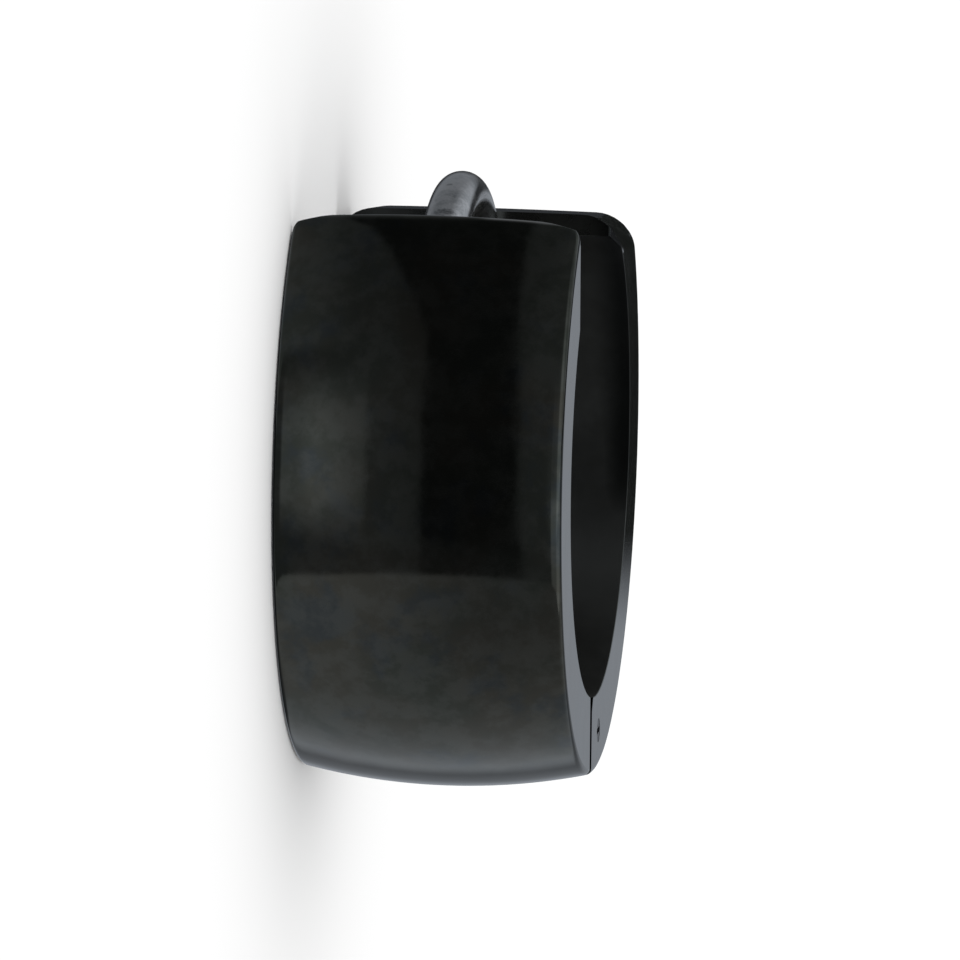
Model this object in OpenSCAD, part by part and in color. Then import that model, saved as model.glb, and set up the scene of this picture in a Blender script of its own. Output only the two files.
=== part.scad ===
// Wide domed hoop earring that hinges at its foot and shuts on a curved post.
// The hoop lies on its side: its axis is Z, its post points to -X and its front half to -Y.
// Each piece is drawn standing first: hoop axis along X, hinge at -Z, post at +Z.

/* [Band] */
// Diameter of the round opening that the ear lobe sits in
opening_d = 10.1; // [9:0.1:11.5]
// Thickness of the band at its side faces
wall_t = 1.61; // [1.5:0.01:1.8]
// Width of the band from side face to side face
band_w = 6; // [5:0.1:7]
// Height of the dome across the band's outer face
dome_h = 0.34; // [0.2:0.02:0.5]
// Radius of the rounded outer edges
outer_edge_r = 0.2; // [0.1:0.02:0.3]
// Radius of the rounded inner edges
inner_edge_r = 0.1; // [0.05:0.01:0.2]

/* [Front half] */
// Distance from the hoop's centre line to the front half's end face
front_end_y = 3.72; // [3.5:0.02:3.9]
// Height of the front half's tip at its end face
front_tip_z = 5.74; // [5.6:0.02:5.9]
// Fall of the tip's top towards the back, in degrees
front_tip_fall = 14; // [5:1:20]
// Bulge of the tip's top across the band
front_tip_arch = 0.1; // [0.04:0.02:0.3]
// Radius of the tip's two corners
front_corner_r = 0.4; // [0.2:0.05:0.8]

/* [Back half] */
// Distance from the hoop's centre line to the back half's end face
back_end_y = 3; // [2.8:0.05:3.2]
// Height of the back half's tip at its end face
back_tip_z = 4.49; // [4.4:0.01:4.7]
// Fall of the tip's top towards the back, in degrees
back_tip_fall = 10; // [4:1:14]
// Bulge of the tip's top across the band
back_tip_arch = 0.02; // [0.02:0.02:0.1]
// Radius of the tip's two corners
back_corner_r = 0.8; // [0.4:0.05:1.2]

/* [Hinge] */
// Diameter of the hinge pin
pin_d = 0.5; // [0.4:0.02:0.56]
// Distance from the hoop's axis to the pin's axis
pin_orbit_r = 5.88; // [5.8:0.02:5.94]
// Distance that each pin end sits below the side face
pin_recess = 0.04; // [0.02:0.01:0.1]
// Radius of the front half's knuckle around the pin
knuckle_r = 0.65; // [0.55:0.01:0.7]
// Width of the front half's knuckle
knuckle_w = 2.6; // [2:0.1:3]
// Distance from the pin's axis to the seam between the halves
seam_y = 1.32; // [1.28:0.02:1.5]
// Width of the seam
seam_gap = 0.12; // [0.08:0.01:0.2]
// Radius of the halves' inner corners where they meet at the seam
seam_corner_r = 0.25; // [0.1:0.05:0.3]

/* [Post] */
// Diameter of the post's wire
post_d = 0.97; // [0.9:0.01:1]
// Radius of the post's arc
post_arc_r = 4.8; // [4.76:0.02:4.84]
// Distance from the hoop's centre line to the arc's centre, towards the front
post_centre_y = 0.62; // [0.58:0.02:0.66]
// Height of the arc's centre above the hoop's axis
post_centre_z = 0.7; // [0.68:0.02:0.74]
// Angle from the top of the arc forward to the foot of the post in its socket
post_root_angle = 51; // [47:1:52]
// Angle from the top of the arc back to the centre of the rounded tip
post_tip_angle = 50.5; // [50:0.5:52]

/* [Hidden] */

// Clearances on each side
pin_fixed_gap = 0.02;
pin_running_gap = 0.04;
knuckle_gap = 0.1;
knuckle_side_gap = 0.06;
socket_gap = 0.02;
socket_floor_gap = 0.05;
notch_gap = 0.05;
// Amount that a face is drawn past another so that the two never just touch
overlap = 0.01;

opening_r = opening_d / 2;
side_r = opening_r + wall_t;
crown_r = side_r + dome_h;
half_w = band_w / 2;
reach = crown_r + 1;

post_r = post_d / 2;
post_tip_r = post_r - overlap;
post_top_z = post_centre_z + post_arc_r + post_r;
socket_floor_angle = post_root_angle + socket_floor_gap / post_arc_r * 180 / PI;
notch_end_angle = post_tip_angle + (post_r + notch_gap) / post_arc_r * 180 / PI;

ear_end_y = seam_y - seam_gap / 2;
shoulder_y = seam_y + seam_gap / 2;
ear_swing_r = ear_end_y + 2 * overlap;
slot_end_y = knuckle_r + knuckle_gap;
foot_z = sqrt(crown_r * crown_r - slot_end_y * slot_end_y);
// Shift that puts the middle of the whole length over the origin
lying_shift = (foot_z - post_top_z) / 2;

plate_grey = [0.1, 0.1, 0.1];
post_grey = [0.42, 0.44, 0.46];
pin_grey = [0.2, 0.2, 0.21];

// Front half: one solid with the knuckle that turns on the pin
module front_half() {
    color(plate_grey) lying() difference() {
        union() {
            front_arc();
            knuckle();
        }
        hinge_rod(pin_d / 2 + pin_running_gap, 2 * reach);
        post_sweep(post_r + socket_gap, -socket_floor_angle, 0);
    }
}

// Back half: one solid with two ears that hold the pin and a notch that catches the post
module back_half() {
    color(plate_grey) lying() difference() {
        back_arc();
        ear_slot();
        hinge_rod(pin_d / 2 + pin_fixed_gap, 2 * reach);
        post_sweep(post_r + notch_gap, 0, notch_end_angle);
    }
}

// Post: bent wire with a rounded tip, seated in the front half's socket
module post() {
    tip_y = post_arc_r * sin(post_tip_angle) - post_centre_y;
    tip_z = post_arc_r * cos(post_tip_angle) + post_centre_z;
    color(post_grey) lying() union() {
        post_sweep(post_r, -post_root_angle, post_tip_angle);
        translate([0, tip_y, tip_z]) sphere(r = post_tip_r, $fn = 48);
    }
}

// Hinge pin, held in the ears
module hinge_pin() {
    color(pin_grey) lying() hinge_rod(pin_d / 2, band_w - 2 * pin_recess);
}

// Lays the standing hoop on its side, with the middle of its length over the origin
module lying() {
    translate([-lying_shift, 0, half_w]) rotate([0, -90, 0]) children();
}

// Front half's stretch of the band, from the seam round to its tip
module front_arc() {
    inner_z = -sqrt(opening_r * opening_r - shoulder_y * shoulder_y);
    difference() {
        intersection() {
            band();
            union() {
                band_block(-reach, -front_end_y, -reach, reach);
                band_block(-reach, -shoulder_y, -reach, 0);
            }
            tip_limit(-front_end_y, front_tip_z, front_tip_fall, front_tip_arch, front_corner_r);
        }
        inner_corner_cut(-shoulder_y, inner_z, 1);
    }
}

// Back half's stretch of the band, with ears that end round the pin
module back_arc() {
    inner_z = -sqrt(opening_r * opening_r - ear_end_y * ear_end_y);
    difference() {
        intersection() {
            band();
            union() {
                band_block(back_end_y, reach, -reach, reach);
                band_block(-ear_end_y, reach, -reach, 0);
            }
            tip_limit(back_end_y, back_tip_z, back_tip_fall, back_tip_arch, back_corner_r);
        }
        inner_corner_cut(-ear_end_y, inner_z, -1);
        ear_foot_cut();
    }
}

// Trims the ears' outer corner to a swing round the pin that clears the front half
module ear_foot_cut() {
    difference() {
        band_block(-reach, 0, -reach, -pin_orbit_r);
        hinge_rod(ear_swing_r, 3 * reach);
    }
}

// Tongue of the front half that ends round the pin
module knuckle() {
    root_depth = 0.5;
    band_block(-shoulder_y - root_depth, 0, -pin_orbit_r - knuckle_r, -pin_orbit_r + knuckle_r, knuckle_w);
    hinge_rod(knuckle_r, knuckle_w);
}

// Slot between the ears, through the whole wall, that the knuckle turns in
module ear_slot() {
    band_block(-reach, slot_end_y, -reach, 0, knuckle_w + 2 * knuckle_side_gap);
}

// Whole band
module band() {
    rotate([0, 90, 0]) rotate_extrude($fn = 180) band_section();
}

// Section through the band: distance from the hoop's axis along x, band width along y
module band_section() {
    difference() {
        crowned_outline(opening_r, crown_r, half_w, dome_h, outer_edge_r);
        for (side = [0, 1]) mirror([0, side]) difference() {
            translate([opening_r - overlap, half_w - inner_edge_r]) square(inner_edge_r + overlap);
            translate([opening_r + inner_edge_r, half_w - inner_edge_r]) circle(r = inner_edge_r, $fn = 48);
        }
    }
}

// Everything below a tip's top, which is bulged across the band, rounded at its two corners
// and falls towards the back from its height at the end face
module tip_limit(end_y, tip_z, fall, arch, corner_r) {
    translate([0, end_y, tip_z]) rotate([-fall, 0, 0]) rotate([90, 0, 0]) rotate([0, 0, 90])
        translate([0, 0, -2 * reach]) linear_extrude(4 * reach)
            crowned_outline(-3 * reach, 0, half_w, arch, corner_r);
}

// Flat shape from x = low to a bulged end at x = high, half_width each side of y = 0.
// Its two end corners are rounded, tangent to the bulge and to the sides.
module crowned_outline(low, high, half_width, bulge, corner_r) {
    bulge_r = (half_width * half_width + bulge * bulge) / (2 * bulge);
    bulge_x = high - bulge_r;
    corner_y = half_width - corner_r;
    corner_x = bulge_x + sqrt(pow(bulge_r - corner_r, 2) - corner_y * corner_y);
    tangent_angle = asin(corner_y / (bulge_r - corner_r));
    cut = 3 * corner_r;
    difference() {
        intersection() {
            translate([bulge_x, 0]) circle(r = bulge_r, $fn = 720);
            translate([low, -half_width]) square([high - low, band_w]);
        }
        for (side = [0, 1]) mirror([0, side]) difference() {
            translate([corner_x, corner_y])
                polygon([[0, 0], [cut * cos(tangent_angle), cut * sin(tangent_angle)], [cut, cut], [0, cut]]);
            translate([corner_x, corner_y]) circle(r = corner_r, $fn = 64);
        }
    }
}

// Block across the band from y0 to y1 and from z0 to z1
module band_block(y0, y1, z0, z1, width = 2 * reach) {
    translate([-width / 2, y0, z0]) cube([width, y1 - y0, z1 - z0]);
}

// Cylinder along X, centred on the hinge pin
module hinge_rod(radius, length) {
    translate([0, 0, -pin_orbit_r]) rotate([0, 90, 0])
        cylinder(r = radius, h = length, center = true, $fn = 96);
}

// Rounds an inner corner that runs along X at y and z. side is 1 where the solid lies at
// lower y than the corner, and -1 where it lies at higher y.
module inner_corner_cut(y, z, side) {
    margin = 0.5;
    translate([0, y, z]) mirror([0, side > 0 ? 1 : 0, 0]) mirror([0, 0, 1]) difference() {
        translate([-reach, -margin, -margin])
            cube([2 * reach, margin + seam_corner_r, margin + seam_corner_r]);
        translate([0, seam_corner_r, seam_corner_r])
            rotate([0, 90, 0]) cylinder(r = seam_corner_r, h = 3 * reach, center = true, $fn = 48);
    }
}

// Stretch of round wire along the post's arc, from one angle to another, both measured
// from the top of the arc and positive towards the back
module post_sweep(radius, from_angle, to_angle) {
    translate([0, -post_centre_y, post_centre_z]) rotate([0, -90, 0]) rotate([0, 0, from_angle])
        rotate_extrude(angle = to_angle - from_angle, $fn = 180)
            translate([post_arc_r, 0]) circle(r = radius, $fn = 48);
}

front_half();
back_half();
post();
hinge_pin();
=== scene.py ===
# Wide domed hoop earring in black plate, hinged at its foot and shut by a bent post.
# It lies on its side: the hoop's axis is upright, the post is towards -X, the hinge towards +X.
# Sizes are in millimetres until MM turns them into metres.
import math
import bmesh
import bpy
from mathutils import Matrix, Vector


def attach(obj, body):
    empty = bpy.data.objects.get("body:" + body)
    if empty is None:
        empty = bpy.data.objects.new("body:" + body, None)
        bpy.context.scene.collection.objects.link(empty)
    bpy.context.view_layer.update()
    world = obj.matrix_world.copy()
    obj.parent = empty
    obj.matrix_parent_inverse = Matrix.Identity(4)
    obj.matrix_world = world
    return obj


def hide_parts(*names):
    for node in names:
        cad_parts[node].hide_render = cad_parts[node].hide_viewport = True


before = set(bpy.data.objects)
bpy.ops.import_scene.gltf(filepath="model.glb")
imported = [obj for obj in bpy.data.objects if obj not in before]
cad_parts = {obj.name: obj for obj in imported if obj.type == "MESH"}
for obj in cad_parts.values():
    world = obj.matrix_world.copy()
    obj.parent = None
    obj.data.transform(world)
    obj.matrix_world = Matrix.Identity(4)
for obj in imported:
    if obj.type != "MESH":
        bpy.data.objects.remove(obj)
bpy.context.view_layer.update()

MM = 0.001


# Camera, at the photograph's angle to the hoop: 12 degrees up towards the post and 7 degrees
# round to the side face, from 400 mm away through a very long lens. The hoop's centre lies
# from the frame's origin towards the post, by the shift, because its foot reaches further out.
half_width = 3.0
shift = 0.48735
distance = 400
turn = math.radians(7.367)
rise = math.radians(12)
roll = math.radians(-0.418)
hoop_centre = Vector((-shift, 0, half_width)) * MM
towards = Vector((-math.sin(rise), -math.cos(turn) * math.cos(rise), math.sin(turn) * math.cos(rise)))
level = Vector((0, math.sin(turn), math.cos(turn)))
upright = towards.cross(level)
side = level * math.cos(roll) - upright * math.sin(roll)
top = level * math.sin(roll) + upright * math.cos(roll)
eye = hoop_centre + distance * MM * towards
lens = bpy.data.cameras.new("camera")
lens.sensor_width = 36
lens.lens = 717.8
lens.shift_x = 0.0226
lens.shift_y = -0.0305
lens.clip_start = 0.02
lens.clip_end = 5
camera = bpy.data.objects.new("camera", lens)
camera.matrix_world = Matrix.Translation(eye) @ Matrix((side, top, towards)).transposed().to_4x4()
bpy.context.scene.collection.objects.link(camera)
bpy.context.scene.camera = camera


# Floor: a plain matt white sheet, 1.4 m wide, that the hoop lies on. The metal doesn't mirror
# the sheet: it mirrors the studio light.
def finished_object(name, bm):
    mesh = bpy.data.meshes.new(name)
    bm.to_mesh(mesh)
    bm.free()
    made = bpy.data.objects.new(name, mesh)
    bpy.context.scene.collection.objects.link(made)
    return made


class Reading:
    """A number that a shader node gives, for use in plain sums."""

    def __init__(self, finish, out):
        self.finish = finish
        self.out = out

    def sum_with(self, other, operation, swapped=False):
        pair = {0: other, 1: self} if swapped else {0: self, 1: other}
        return self.finish.node("ShaderNodeMath", {"operation": operation}, pair)

    def __add__(self, other):
        return self.sum_with(other, "ADD")

    def __radd__(self, other):
        return self.sum_with(other, "ADD", True)

    def __sub__(self, other):
        return self.sum_with(other, "SUBTRACT")

    def __rsub__(self, other):
        return self.sum_with(other, "SUBTRACT", True)

    def __mul__(self, other):
        return self.sum_with(other, "MULTIPLY")

    def __rmul__(self, other):
        return self.sum_with(other, "MULTIPLY", True)


class Finish:
    """The nodes of a material, or of the room's light, added one by one."""

    def __init__(self, made, kind="ShaderNodeBsdfPrincipled", output="ShaderNodeOutputMaterial"):
        made.use_nodes = True
        self.made = made
        self.tree = made.node_tree
        self.tree.nodes.clear()
        self.shader = self.tree.nodes.new(kind)
        end = self.tree.nodes.new(output)
        self.tree.links.new(self.shader.outputs[0], end.inputs["Surface"])

    def feed(self, socket, value):
        if isinstance(value, Reading):
            self.tree.links.new(value.out, socket)
        elif isinstance(value, tuple) and len(value) == 3 and socket.type == "RGBA":
            socket.default_value = value + (1,)
        else:
            socket.default_value = value

    def node(self, kind, settings, sockets, out=0):
        added = self.tree.nodes.new(kind)
        for name, value in settings.items():
            setattr(added, name, value)
        for name, value in sockets.items():
            self.feed(added.inputs[name], value)
        return Reading(self, added.outputs[out])

    def surface(self, sockets):
        for name, value in sockets.items():
            self.feed(self.shader.inputs[name], value)

    def work_out(self, operation, *values):
        return self.node("ShaderNodeMath", {"operation": operation}, dict(enumerate(values)))

    def parts_of(self, vector):
        return [self.node("ShaderNodeSeparateXYZ", {}, {0: vector}, axis) for axis in "XYZ"]

    def place(self, offset=(0, 0, 0), scale=(1, 1, 1)):
        """The point on the piece, scaled about its origin and then moved by the offset."""
        here = self.node("ShaderNodeTexCoord", {}, {}, "Object")
        sockets = {"Vector": here, "Location": offset, "Scale": scale}
        return self.node("ShaderNodeMapping", {}, sockets)

    def length(self, place):
        return self.node("ShaderNodeVectorMath", {"operation": "LENGTH"}, {0: place}, "Value")

    def cloud(self, place, size, detail, roughness=0.5):
        """Soft noise, from 0 to 1, with patches of the given size in metres."""
        sockets = {"Vector": place, "Scale": 1 / size, "Detail": detail, "Roughness": roughness}
        return self.node("ShaderNodeTexNoise", {"noise_dimensions": "3D"}, sockets)

    def step(self, value, low, high):
        """0 up to low and 1 from high on, with a smooth rise between them."""
        sockets = {"Value": value, "From Min": low, "From Max": high}
        return self.node("ShaderNodeMapRange", {"interpolation_type": "SMOOTHSTEP"}, sockets)

    def tint(self, factor, first, second):
        return self.node("ShaderNodeMix", {"data_type": "RGBA"}, {0: factor, 6: first, 7: second}, 2)

    def bump(self, height, depth):
        sockets = {"Strength": 1.0, "Distance": depth, "Height": height}
        return self.node("ShaderNodeBump", {}, sockets)


sheet_half = 0.7
sheet_gap = 0.02 * MM
paper = Finish(bpy.data.materials.new("white_sheet"))
paper.surface({"Base Color": (0.9, 0.9, 0.9), "Roughness": 0.9, "Specular IOR Level": 0.0})
bm = bmesh.new()
bmesh.ops.create_grid(bm, x_segments=1, y_segments=1, size=sheet_half)
bmesh.ops.translate(bm, verts=bm.verts, vec=(0, 0, -sheet_gap))
floor = finished_object("floor", bm)
floor.data.materials.append(paper.made)
floor.visible_glossy = False


# Front half: the wide half that faces the viewer, steel under high gloss black plate.
# A bar is rounded, sliced and bent round the opening. Its crown is domed, a knuckle at its
# foot turns on the hinge pin, and its upright end face has the post's socket.
opening_r = 5.05
wall = 1.61
crown_r = 7.0
dome_r = 13.405
pin_orbit = 5.88
touching = 1e-4


def lay(across, y, z):
    """A point of the standing hoop, measured from its centre, once the hoop lies down."""
    return Vector((-z - shift, y, across + half_width))


def outer_r(across):
    """Radius of the domed outside, which falls from the crown to both side faces."""
    return crown_r - dome_r + math.sqrt(dome_r ** 2 - across ** 2)


def arch_r(tip):
    """Radius of the flat arch that a tip's top follows from side to side."""
    return (half_width ** 2 + tip["arch"] ** 2) / (2 * tip["arch"])


def tip_height(across, tip):
    """Height of a tip's top against its middle: the arch, with a round corner at each side."""
    arc = arch_r(tip)
    corner = tip["corner"]
    height = math.sqrt(arc ** 2 - across ** 2) - arc
    past = abs(across) - (half_width - corner)
    if past > 0:
        centre = math.sqrt((arc - corner) ** 2 - (half_width - corner) ** 2) - arc
        height = min(height, centre + math.sqrt(max(corner ** 2 - past ** 2, 0)))
    return height


def top_reach(tip):
    """Distance of a tip's sloping top from the hoop's axis."""
    return tip["side"] * tip["end"] * math.sin(tip["fall"]) + tip["ridge"] * math.cos(tip["fall"])


def tip_angle(across, r, tip):
    """Angle from the top at which a half ends, at its upright end face or its sloping top."""
    reach = top_reach(tip) + tip_height(across, tip)
    slope = math.acos(reach / r) + tip["side"] * tip["fall"] if reach < r else 0
    return max(math.asin(tip["end"] / r), slope)


def ridge_r(across, tip):
    """Radius of the ridge where the end face meets the top, kept inside the band."""
    height = tip["ridge"] + tip_height(across, tip) / math.cos(tip["fall"])
    return min(max(math.hypot(tip["end"], height), opening_r + 0.15), outer_r(across) - 0.08)


def radius_at(across, s, h, length, tip):
    """Radius of a point s along and h up the bar, with one row drawn to the ridge at the tip."""
    drawn_length = 1.2
    outside = outer_r(across)
    plain = opening_r + h / wall * (outside - opening_r)
    ridge = ridge_r(across, tip)
    if h < tip["row"]:
        drawn = opening_r + h / tip["row"] * (ridge - opening_r)
    else:
        drawn = ridge + (h - tip["row"]) / (wall - tip["row"]) * (outside - ridge)
    near = min(max(s - length + drawn_length, 0), 1)
    return plain + near * near * (3 - 2 * near) * (drawn - plain)


def block(bm, low, high):
    made = bmesh.ops.create_cube(bm, size=1)["verts"]
    size = [b - a for a, b in zip(low, high)]
    middle = [(a + b) / 2 for a, b in zip(low, high)]
    bmesh.ops.scale(bm, verts=made, vec=size)
    bmesh.ops.translate(bm, verts=made, vec=middle)


def lies_along(edge, axis):
    along = edge.verts[1].co - edge.verts[0].co
    return abs(along[axis]) > 0.99 * along.length


def round_off(bm, offset, segments, wanted):
    """Round each edge for which wanted, given the edge's middle and the edge, is true."""
    edges = [edge for edge in bm.edges if wanted((edge.verts[0].co + edge.verts[1].co) / 2, edge)]
    bmesh.ops.bevel(
        bm, geom=edges, offset=offset, offset_type="OFFSET", segments=segments, profile=0.5,
        affect="EDGES", material=-1, clamp_overlap=True)


def is_long_edge(at, edge):
    return lies_along(edge, 1) and abs(abs(at.x) - half_width) < touching


def in_seam(at):
    return abs(at.y) < touching


def round_bar(bm, length, inner_round, end_round, end_segments):
    """Round a bar's long edges, outside and inside, then its tip, then its edges at the seam."""
    outer_round = 0.11
    seam_inner = 0.25
    seam_outer = 0.09
    round_off(bm, outer_round, 5, lambda at, edge: is_long_edge(at, edge) and at.z > wall - 0.01)
    round_off(bm, inner_round, 1, lambda at, edge: is_long_edge(at, edge) and at.z < 0.01)
    round_off(bm, end_round, end_segments, lambda at, edge: abs(at.y - length) < touching)
    round_off(bm, seam_inner, 6, lambda at, edge: in_seam(at) and abs(at.z) < touching)
    round_off(bm, seam_outer, 4, lambda at, edge: in_seam(at) and at.z > seam_inner + 0.05)


def slice_bar(bm, axis, places):
    """Cut a bar across an axis at each place, so that it has points to bend at."""
    for place in places:
        everything = bm.verts[:] + bm.edges[:] + bm.faces[:]
        bmesh.ops.bisect_plane(
            bm, geom=everything, dist=1e-6, plane_co=Vector(axis) * place, plane_no=axis)


def both_sides(places):
    return sorted({-place for place in places} | set(places))


def cuts_along(count):
    first = 0.3
    apart = 0.2
    return [first + apart * i for i in range(count)]


def draw_out(bm, faces, by):
    """Draw faces out of a shape, as one piece with it, and give the corners that moved."""
    grown = bmesh.ops.extrude_face_region(bm, geom=faces)["geom"]
    bmesh.ops.delete(bm, geom=faces, context="FACES")
    moved = [part for part in grown if isinstance(part, bmesh.types.BMVert)]
    bmesh.ops.translate(bm, verts=moved, vec=by)
    return moved


def face_outwards(bm):
    bmesh.ops.recalc_face_normals(bm, faces=bm.faces)
    if bm.calc_volume(signed=True) < 0:
        bmesh.ops.reverse_faces(bm, faces=bm.faces)


def sweep(bm, radius, start, stop):
    """A round bar along the post's arc, from one angle to another, and its last end's parts."""
    arc = 4.8
    centre = lay(0, -0.62, 0.7)
    ring = bmesh.ops.create_circle(bm, cap_ends=True, radius=radius, segments=48)["verts"]
    begin = centre + arc * Vector((-math.cos(start), math.sin(start), 0))
    facing = Matrix.Rotation(-start, 4, "Z") @ Matrix.Rotation(math.pi / 2, 4, "X")
    bmesh.ops.transform(bm, matrix=Matrix.Translation(begin) @ facing, verts=ring)
    faces = list(dict.fromkeys(face for vert in ring for face in vert.link_faces))
    edges = [edge for edge in bm.edges if edge.verts[0] in ring]
    made = bmesh.ops.spin(
        bm, geom=faces + edges + ring, cent=centre, axis=(0, 0, -1), dvec=(0, 0, 0),
        angle=stop - start, steps=60, use_merge=False, use_normal_flip=False, use_duplicate=False)
    return made["geom_last"]


def rod(bm, radius, length):
    """A round rod on the hinge's axis."""
    made = bmesh.ops.create_cone(
        bm, cap_ends=True, segments=64, radius1=radius, radius2=radius, depth=length)["verts"]
    bmesh.ops.translate(bm, verts=made, vec=lay(0, 0, -pin_orbit))


def carve(piece, shape):
    """Cut a shape out of a piece."""
    face_outwards(shape)
    tool = finished_object("cutter", shape)
    cut = piece.modifiers.new("cut", "BOOLEAN")
    cut.operation = "DIFFERENCE"
    cut.solver = "EXACT"
    cut.object = tool
    bpy.context.view_layer.update()
    mesh = bpy.data.meshes.new_from_object(piece.evaluated_get(bpy.context.evaluated_depsgraph_get()))
    piece.modifiers.clear()
    piece.data = mesh
    bpy.data.objects.remove(tool)


def polish(piece, sharp=35):
    """Turn a piece into metres and shade it smooth, but for its flat faces and sharp edges."""
    bm = bmesh.new()
    bm.from_mesh(piece.data)
    bmesh.ops.scale(bm, verts=bm.verts, vec=(MM, MM, MM))
    for face in bm.faces:
        face.smooth = abs(face.normal.z) < 0.9999 and abs(face.normal.y) < 0.999999
    for edge in bm.edges:
        edge.smooth = len(edge.link_faces) == 2 and edge.calc_face_angle(0) < math.radians(sharp)
    bm.to_mesh(piece.data)
    bm.free()


# A tip's end face is upright, at the distance end from the hoop's middle, up to the height
# ridge, from where its top slopes on by the angle fall. Arch is how far the top drops towards
# the side faces, corner the radius of its corners, and row the height in the bar's wall of
# the points that are drawn to the ridge. Side is -1 for the half towards -Y, 1 for the other.
front_tip = {
    "side": -1, "end": 3.72, "ridge": 5.74, "fall": math.radians(14),
    "arch": 0.1, "corner": 0.4, "row": 1.47}
front_length = 13.6
shoulder = 1.355
pin_r = 0.25
knuckle_r = 0.65
knuckle_half = 1.3
bore_gap = 0.04
bore_length = 3.4
wire_r = 0.485
socket_gap = 0.02
socket_end = math.radians(-51.6)
row_half = 0.02
bm = bmesh.new()
block(bm, (-half_width, 0, 0), (half_width, front_length, wall))
round_bar(bm, front_length, inner_round=0.02, end_round=0.06, end_segments=3)
columns = both_sides([
    0, 0.25, 0.5, 0.75, 1.0, knuckle_half, 1.55, 1.8, 2.0, 2.2, 2.4, 2.6, 2.7, 2.78])
slice_bar(bm, (1, 0, 0), columns)
slice_bar(bm, (0, 0, 1), [front_tip["row"] - row_half, front_tip["row"] + row_half])
slice_bar(bm, (0, 1, 0), cuts_along(66))
for vert in bm.verts:
    across, s, h = vert.co
    r = radius_at(across, s, h, front_length, front_tip)
    foot = math.pi - math.asin(shoulder / r)
    angle = foot + s / front_length * (tip_angle(across, r, front_tip) - foot)
    vert.co = lay(across, -r * math.sin(angle), r * math.cos(angle))
face_outwards(bm)
knuckle_top = pin_orbit - knuckle_r - shift
knuckle_foot = pin_orbit + knuckle_r - shift


def at_shoulder(face):
    middle = face.calc_center_median()
    return abs(middle.y + shoulder) < 10 * touching and abs(middle.z - half_width) < knuckle_half


for height in (knuckle_top, knuckle_foot):
    faces = [face for face in bm.faces if face.normal.y > 0.999 and at_shoulder(face)]
    corners = list(dict.fromkeys(vert for face in faces for vert in face.verts))
    edges = list(dict.fromkeys(edge for face in faces for edge in face.edges))
    bmesh.ops.bisect_plane(
        bm, geom=corners + edges + faces, dist=1e-6, plane_co=(height, 0, 0), plane_no=(1, 0, 0))
knuckle = [face for face in bm.faces if at_shoulder(face)
           and knuckle_top < face.calc_center_median().x < knuckle_foot]
draw_out(bm, knuckle, (0, shoulder + knuckle_r, 0))
round_off(bm, knuckle_r - 0.005, 10, lambda at, edge: (
    abs(at.y - knuckle_r) < touching and lies_along(edge, 2)
    and min(abs(at.x - knuckle_top), abs(at.x - knuckle_foot)) < touching))
bmesh.ops.remove_doubles(bm, verts=bm.verts, dist=1e-5)
face_outwards(bm)
front_half = finished_object("front_half_plate", bm)
shape = bmesh.new()
rod(shape, pin_r + bore_gap, bore_length)
carve(front_half, shape)
shape = bmesh.new()
sweep(shape, wire_r + socket_gap, socket_end, 0)
carve(front_half, shape)
polish(front_half)

# The plate is stained in cool and warm patches. It is rougher in the bore and on the back tip's end
# face, which are painted with shade and light. A pale steel line along the front tip's rim is a
# painted highlight.
olive = (0.0402, 0.0424, 0.0347)
brown = (0.0487, 0.0458, 0.0368)
slate = (0.0373, 0.0416, 0.042)
pale_haze = (0.075, 0.0745, 0.065)
# The bore's two tones are painted light and painted shade.
bore_painted_light = (0.105, 0.107, 0.100)
bore_painted_shade = (0.020, 0.021, 0.020)
# The pale steel tone is a painted highlight.
rim_highlight_tone = (0.30, 0.29, 0.27)
black = Finish(bpy.data.materials.new("black_plate"))
here = black.place()
stains = black.cloud(here, 2.4 * MM, 3)
cool = black.cloud(black.place((0.03, 0.01, 0.02)), 1.5 * MM, 4, 0.6)
haze = black.cloud(black.place((0.01, 0.04, 0.03)), 0.6 * MM, 5, 0.65)
grains = black.cloud(black.place((0.02, 0.02, 0.05)), 0.07 * MM, 3, 0.6)
ripple = black.cloud(black.place((0.05, 0.03, 0.01)), 1.1 * MM, 2, 0.4)
plate = black.tint(black.step(stains, 0.4, 0.62), olive, brown)
plate = black.tint(black.step(cool, 0.5, 0.64) * 0.8, plate, slate)
plate = black.tint(black.step(haze, 0.4, 0.62) * 0.4, plate, pale_haze)
x, y, z = black.parts_of(here)
across = black.work_out("ABSOLUTE", z - half_width * MM)
from_axis = black.length(black.place((shift * MM, 0, 0), (1, 1, 0)))
bore = 1 - black.step(from_axis, (opening_r + 0.003) * MM, (opening_r + 0.02) * MM)
back_end = 1 - black.step(black.work_out("ABSOLUTE", y - 3.0 * MM), 0.01 * MM, 0.03 * MM)
back_end = back_end * (1 - black.step(x, -3.6 * MM, -3.0 * MM))
bore = black.work_out("MAXIMUM", bore, 0.7 * back_end)
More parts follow.
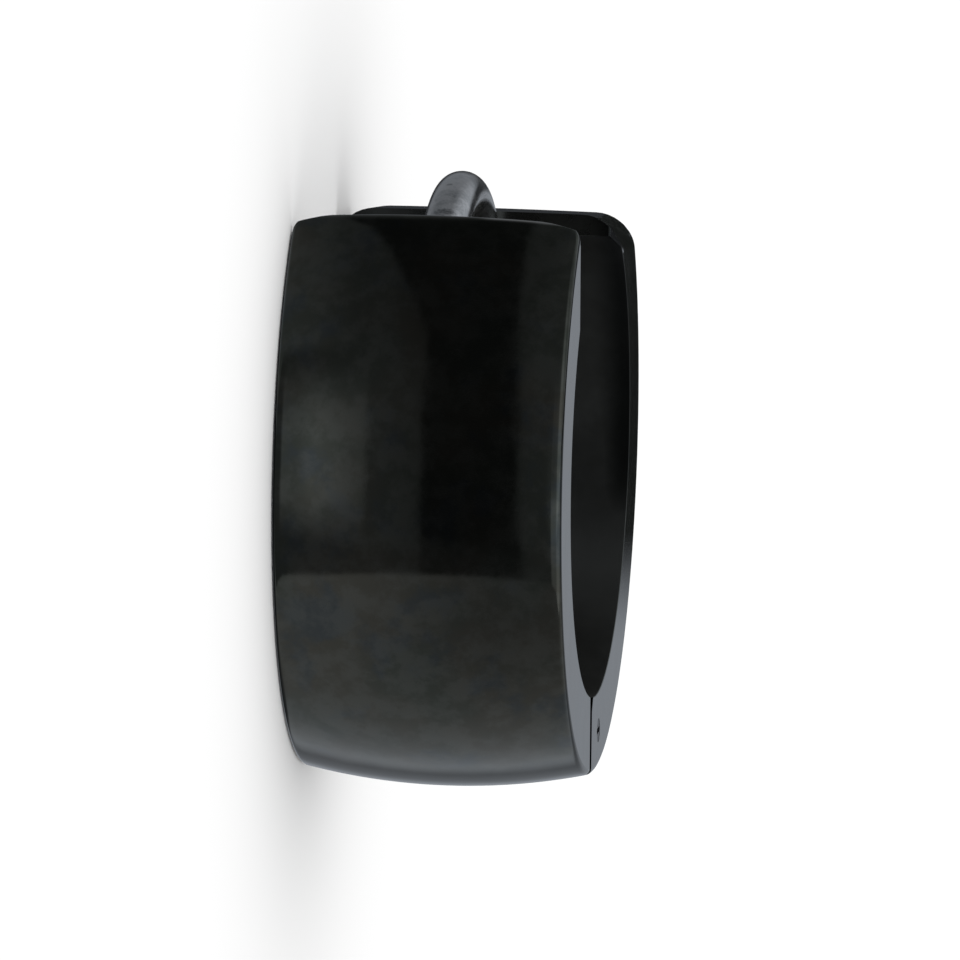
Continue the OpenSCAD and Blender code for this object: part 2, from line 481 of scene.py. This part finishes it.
# Painted shade and light in the bore: paler towards the post, darker towards the side faces and past
# the middle towards the hinge.
painted_shade_near_sides = black.step(across, 2.1 * MM, 2.9 * MM) * (1 - black.step(x, 0.8 * MM, 2.6 * MM))
painted_shade_lower = black.step(x, -1.5 * MM, 0.8 * MM) * (1 - 0.7 * black.step(x, 1.6 * MM, 2.8 * MM))
inside = black.tint(black.work_out("MAXIMUM", painted_shade_near_sides, 0.45 * painted_shade_lower), bore_painted_light, bore_painted_shade)
plate = black.tint(bore, plate, inside)
slope_y = math.sin(front_tip["fall"])
slope_z = math.cos(front_tip["fall"])
rim_reach = top_reach(front_tip)
squared = across * across * (1 / MM)
reach = y * slope_y - (x + shift * MM) * slope_z + squared * (0.5 / arch_r(front_tip))
crown = from_axis + squared * (0.5 / dome_r)
# Painted highlight: a pale steel line along the front tip's rim, stronger towards the side face at
# +Z.
painted_rim_highlight = black.step(reach, (rim_reach - 0.07) * MM, (rim_reach - 0.02) * MM)
painted_rim_highlight = painted_rim_highlight * black.step(crown, (crown_r - 0.1) * MM, (crown_r - 0.04) * MM)
painted_rim_highlight = painted_rim_highlight * (0.15 + 0.85 * black.step(z, 3.85 * MM, 4.25 * MM))
plate = black.tint(painted_rim_highlight, plate, rim_highlight_tone)
gloss = 0.05 + 0.04 * black.step(haze, 0.38, 0.66) + 0.02 * black.step(stains, 0.45, 0.65)
gloss = gloss + 0.3 * bore
waves = black.bump(ripple + 0.04 * grains, 0.004 * MM)
black.surface({"Base Color": plate, "Metallic": 1.0, "Roughness": gloss, "Normal": waves})
front_half.data.materials.append(black.made)
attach(front_half, "front")
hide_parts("front_half")


# Back half: the other bent band, in the same plated steel. Two ears at its foot, which end in
# a round about the pin that they hold, have a slot for the knuckle between them. A notch in
# its low, round-cornered tip catches the post.
back_tip = {
    "side": 1, "end": 3.0, "ridge": 4.525, "fall": math.radians(10),
    "arch": 0.02, "corner": 0.8, "row": 0.3}
back_length = 15.9
slot_length = 2.1
slot_half = 1.36
slot_floor = 0.75
ear_end = 1.285
ear_round = 0.09
swing_r = 1.3
ear_gap = 0.002
notch_gap = 0.05
notch_end = math.radians(56.9)
bm = bmesh.new()
block(bm, (-half_width, slot_length, 0), (half_width, back_length, wall))
slice_bar(bm, (1, 0, 0), [-slot_half, slot_half])
ears = [face for face in bm.faces
        if face.normal.y < -0.9 and abs(face.calc_center_median().x) > slot_half]
draw_out(bm, ears, (0, -slot_length, 0))
bmesh.ops.recalc_face_normals(bm, faces=bm.faces)
round_bar(bm, back_length, inner_round=0.012, end_round=0.008, end_segments=1)
round_off(bm, ear_round, 4, lambda at, edge: edge.calc_face_angle(0) > 1.2 and edge.is_convex)
columns = both_sides([
    0, 0.3, 0.6, 0.9, 1.2, 1.5, 1.75, 2.0, 2.2, 2.33, 2.46, 2.58, 2.68, 2.76, 2.8])
slice_bar(bm, (1, 0, 0), columns)
slice_bar(bm, (0, 0, 1), [back_tip["row"]])
slice_bar(bm, (0, 1, 0), cuts_along(78))
for vert in bm.verts:
    across, s, h = vert.co
    r = radius_at(across, s, h, back_length, back_tip)
    foot = math.pi - math.asin(slot_floor / r)
    swing = (r * r + pin_orbit ** 2 - swing_r ** 2) / (2 * r * pin_orbit)
    ear = math.pi + min(math.asin(ear_end / r), math.acos(min(swing, 1)))
    if s < slot_length:
        angle = ear + s / slot_length * (foot - ear)
    else:
        past_slot = (s - slot_length) / (back_length - slot_length)
        angle = foot + past_slot * (tip_angle(across, r, back_tip) - foot)
    vert.co = lay(across, r * math.sin(angle), r * math.cos(angle))
bmesh.ops.remove_doubles(bm, verts=bm.verts, dist=touching)
bmesh.ops.dissolve_degenerate(bm, edges=bm.edges, dist=touching)
face_outwards(bm)
back_half = finished_object("back_half_plate", bm)
shape = bmesh.new()
rod(shape, pin_r + ear_gap, 2 * half_width + 2)
carve(back_half, shape)
shape = bmesh.new()
sweep(shape, wire_r + notch_gap, 0, notch_end)
carve(back_half, shape)
polish(back_half, sharp=25)
back_half.data.materials.append(black.made)
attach(back_half, "back")
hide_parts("back_half")


# Post: a bent satin steel wire with a rounded tip, pressed into the front half's end.
# Its finish is smeared and specked, with two small dark spots on the outside of the bend.
# The one nearer the front half's end is painted shade.
wire_start = math.radians(-51)
wire_end = math.radians(50.5)
bm = bmesh.new()
end = sweep(bm, wire_r, wire_start, wire_end)
tip_face = [part for part in end if isinstance(part, bmesh.types.BMFace)]
onward = Vector((math.sin(wire_end), math.cos(wire_end), 0))
tip_verts = draw_out(bm, tip_face, (wire_r - 0.01) * onward)
face_outwards(bm)
tip_edges = {edge for vert in tip_verts for edge in vert.link_edges
             if edge.other_vert(vert) in tip_verts}
round_off(bm, wire_r - 0.015, 10, lambda at, edge: edge in tip_edges)
post = finished_object("post_wire", bm)
polish(post)
dark_spot_tone = (0.05, 0.054, 0.056)
# Dark spots on the bend: the second, nearer the front half's end, is painted shade.
dark_spots = [
    {"at": (-6.42, -1.34, 2.95), "stretch": 1, "size": 0.1},
    {"at": (-6.09, -2.57, 3.02), "stretch": 0.4, "size": 0.15}]
satin = Finish(bpy.data.materials.new("satin_steel"))
smears = satin.cloud(satin.place(), 0.5 * MM, 4, 0.6)
specks = satin.cloud(satin.place((0.02, 0.01, 0.04)), 0.34 * MM, 3, 0.55)
grit = satin.cloud(satin.place((0.01, 0.03, 0.02)), 0.05 * MM, 4, 0.7)
wire = satin.tint(satin.step(smears, 0.38, 0.62), (0.258, 0.26, 0.256), (0.408, 0.4, 0.393))
wire = satin.tint(satin.step(specks, 0.64, 0.72) * 0.7, wire, (0.075, 0.08, 0.082))
for dark_spot in dark_spots:
    squash = (1, 1, dark_spot["stretch"])
    offset = tuple(-place * scale * MM for place, scale in zip(dark_spot["at"], squash))
    away = satin.length(satin.place(offset, squash)) + 0.08 * MM * (grit - 0.5)
    spot = 1 - satin.step(away, 0.3 * dark_spot["size"] * MM, dark_spot["size"] * MM)
    wire = satin.tint(spot * 0.75, wire, dark_spot_tone)
wire = satin.tint(satin.step(grit, 0.42, 0.6) * 0.25, wire, (0.53, 0.52, 0.505))
brushed = 0.11 + 0.06 * satin.step(smears, 0.4, 0.65) + 0.04 * satin.step(grit, 0.4, 0.65)
skin = satin.bump(grit, 0.0012 * MM)
satin.surface({"Base Color": wire, "Metallic": 1.0, "Roughness": brushed, "Normal": skin})
post.data.materials.append(satin.made)
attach(post, "front")
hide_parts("post")


# Hinge pin: a short darkened steel rod, ground just below the ears' side faces, with a short
# slot filed across each end.
pin_half = half_width - 0.005
slot_size = Vector((0.12, 0.4, 0.18))
slot_round = 0.055
bm = bmesh.new()
rod(bm, pin_r, 2 * pin_half)
round_off(bm, 0.006, 2, lambda at, edge: edge.calc_face_angle(0) > 1)
pin = finished_object("hinge_pin_rod", bm)
for across in (-half_width, half_width):
    shape = bmesh.new()
    block(shape, -slot_size / 2, slot_size / 2)
    bmesh.ops.translate(shape, verts=shape.verts, vec=lay(across, 0, -pin_orbit))
    round_off(shape, slot_round, 5, lambda at, edge: lies_along(edge, 2))
    carve(pin, shape)
polish(pin)
dark = Finish(bpy.data.materials.new("dark_steel"))
filed = dark.cloud(dark.place((0.01, 0, 0), (1, 6, 1)), 0.08 * MM, 4, 0.6)
burnt = dark.cloud(dark.place((0, 0.01, 0)), 0.2 * MM, 3)
pin_tone = dark.tint(dark.step(burnt, 0.4, 0.62), (0.045, 0.048, 0.055), (0.07, 0.068, 0.07))
file_marks = dark.bump(filed, 0.002 * MM)
pin_gloss = 0.22 + 0.15 * filed
dark.surface({"Base Color": pin_tone, "Metallic": 1.0, "Roughness": pin_gloss, "Normal": file_marks})
pin.data.materials.append(dark.made)
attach(pin, "back")
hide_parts("hinge_pin")


# Studio light: an even white room. What polished metal mirrors of it is graded like a set of
# soft boxes and dark screens: dark round the camera, pale to the sides, overhead and below.
# Each strength below is a brightness, and each step runs between two angles in degrees.
room = Finish(bpy.data.worlds.new("room"), "ShaderNodeMixShader", "ShaderNodeOutputWorld")
bpy.context.scene.world = room.made
bpy.context.scene.view_settings.view_transform = "Standard"
degrees = 180 / math.pi
east, north, up = room.parts_of(room.node("ShaderNodeTexCoord", {}, {}, "Generated"))

# Bearing is 0 straight out of the front half, less towards the post, more towards the hinge.
bearing = room.work_out("ARCTAN2", east, north * -1) * degrees
pitch = room.work_out("ARCSINE", up) * degrees
down = 0 - pitch

# The dark screen round the camera is narrow, with edges that spread towards the post.
left_edge = -6.3 - 0.21 * room.work_out("MAXIMUM", -52 - bearing, 0.0)
right_edge = 10.9 - 0.075 * room.work_out("MAXIMUM", -25 - bearing, 0.0)
edge_blur = 0.7
screen = room.step(pitch - left_edge, -edge_blur, edge_blur)
screen = screen * room.step(right_edge - pitch, -edge_blur, edge_blur)

# Below it, at the left of the picture, is a dim wall with one soft box.
left_wall = 0.058 + 0.07 * room.step(bearing, -65, -25) + 0.07 * room.step(down, 6, 16)
left_wall = left_wall + 0.21 * room.step(down, 16, 30) * (1 - room.step(bearing, -52, -44))
left_box = room.step(bearing, -46, -14) * (1 - room.step(bearing, 2, 25))
left_box = left_box * room.step(down, 15.7, 17.3) * (0.3 + 0.4 * room.step(down, 18, 26))
left_box = left_box * (1 - 0.35 * room.step(down, 26, 30) - 0.65 * room.step(down, 33, 38))

# Above it, at the right of the picture, are a brighter wall, a soft box and a light overhead.
right_wall = 0.12 + 0.07 * room.step(pitch, 9, 14)
right_box = (0.2 + 0.5 * room.step(bearing, -5, 12)) * room.step(pitch, 15.5, 19)
right_box = right_box * room.step(bearing, -42, -25)
overhead = room.step(pitch, 20, 45) * (0.25 + 0.55 * room.step(bearing, -110, -50))
right = room.step(pitch, -0.5, 0.5)
walls = (left_wall + left_box) * (1 - right) + (right_wall + right_box + overhead) * right
front = walls * (1 - screen) * (1 - 0.3 * room.step(bearing, 18, 25))
front = front + 0.058 + 0.04 * room.step(bearing, 16, 26)

# Round towards the hinge the hoop mirrors a pale table top with a curved rim, dark at its end.
rim = 31 + 0.0125 * (pitch + 4) * (pitch + 4)
table = room.step(bearing - rim, -0.8, 0.8)
near_rim = 0.33 + 0.37 * room.step(down, -6, 24)
table_top = near_rim + (0.78 - near_rim) * room.step(bearing, 46, 120)
table_top = table_top * (1 - 0.66 * room.step(bearing, 126, 139))
table_top = table_top + 0.1 * room.step(bearing, 146, 158)
table_top = table_top * (1 - 0.85 * room.step(down, 22, 32) * room.step(bearing, 80, 120))
far_end = room.step(bearing - 2.5 * room.step(pitch, -5.5, -3), 167, 170)
table_top = table_top * (1 - 0.9 * far_end)
around = front * (1 - table) + table_top * table

# Round towards the post it mirrors a pale sheet, brighter far above and far below its level.
sheet = (1 - room.step(bearing, -112, -104)) * room.step(bearing, -179, -173)
sheet_light = 0.26 + 0.5 * room.step(pitch, 6, 34) + 0.25 * room.step(down, 25, 55)
mirrored = around * (1 - sheet) + sheet_light * sheet
even = room.node("ShaderNodeBackground", {}, {"Color": (1, 1, 1), "Strength": 1.15})
graded = room.node("ShaderNodeBackground", {}, {"Color": (0.93, 1, 1.1), "Strength": mirrored})
room.surface({0: room.node("ShaderNodeLightPath", {}, {}, "Is Glossy Ray"), 1: even, 2: graded})


# Dark card: a narrow strip of black felt, stood behind the back half at the height of its
# upper side face, which shows only in reflections. It fades out towards the hinge.
card_half = Vector((5.3, 0.9, 1))
card_middle = Vector((0.7, 9, 5.95))
fade_start = 2.95
fade_end = 5.6
bm = bmesh.new()
bmesh.ops.create_grid(bm, x_segments=1, y_segments=1, size=MM)
bmesh.ops.scale(bm, verts=bm.verts, vec=card_half)
bmesh.ops.rotate(bm, verts=bm.verts, matrix=Matrix.Rotation(math.pi / 2, 3, "X"))
bmesh.ops.translate(bm, verts=bm.verts, vec=card_middle * MM)
card = finished_object("dark_card", bm)
felt = Finish(bpy.data.materials.new("dark_felt"))
felt_x = felt.parts_of(felt.place())[0]
fade = felt.step(felt_x, fade_start * MM, fade_end * MM)
felt.surface({"Base Color": (0.02, 0.022, 0.021), "Roughness": 1.0, "Specular IOR Level": 0.0})
felt.surface({"Alpha": 1 - fade})
card.data.materials.append(felt.made)
card.visible_camera = False
card.visible_diffuse = False
card.visible_shadow = False
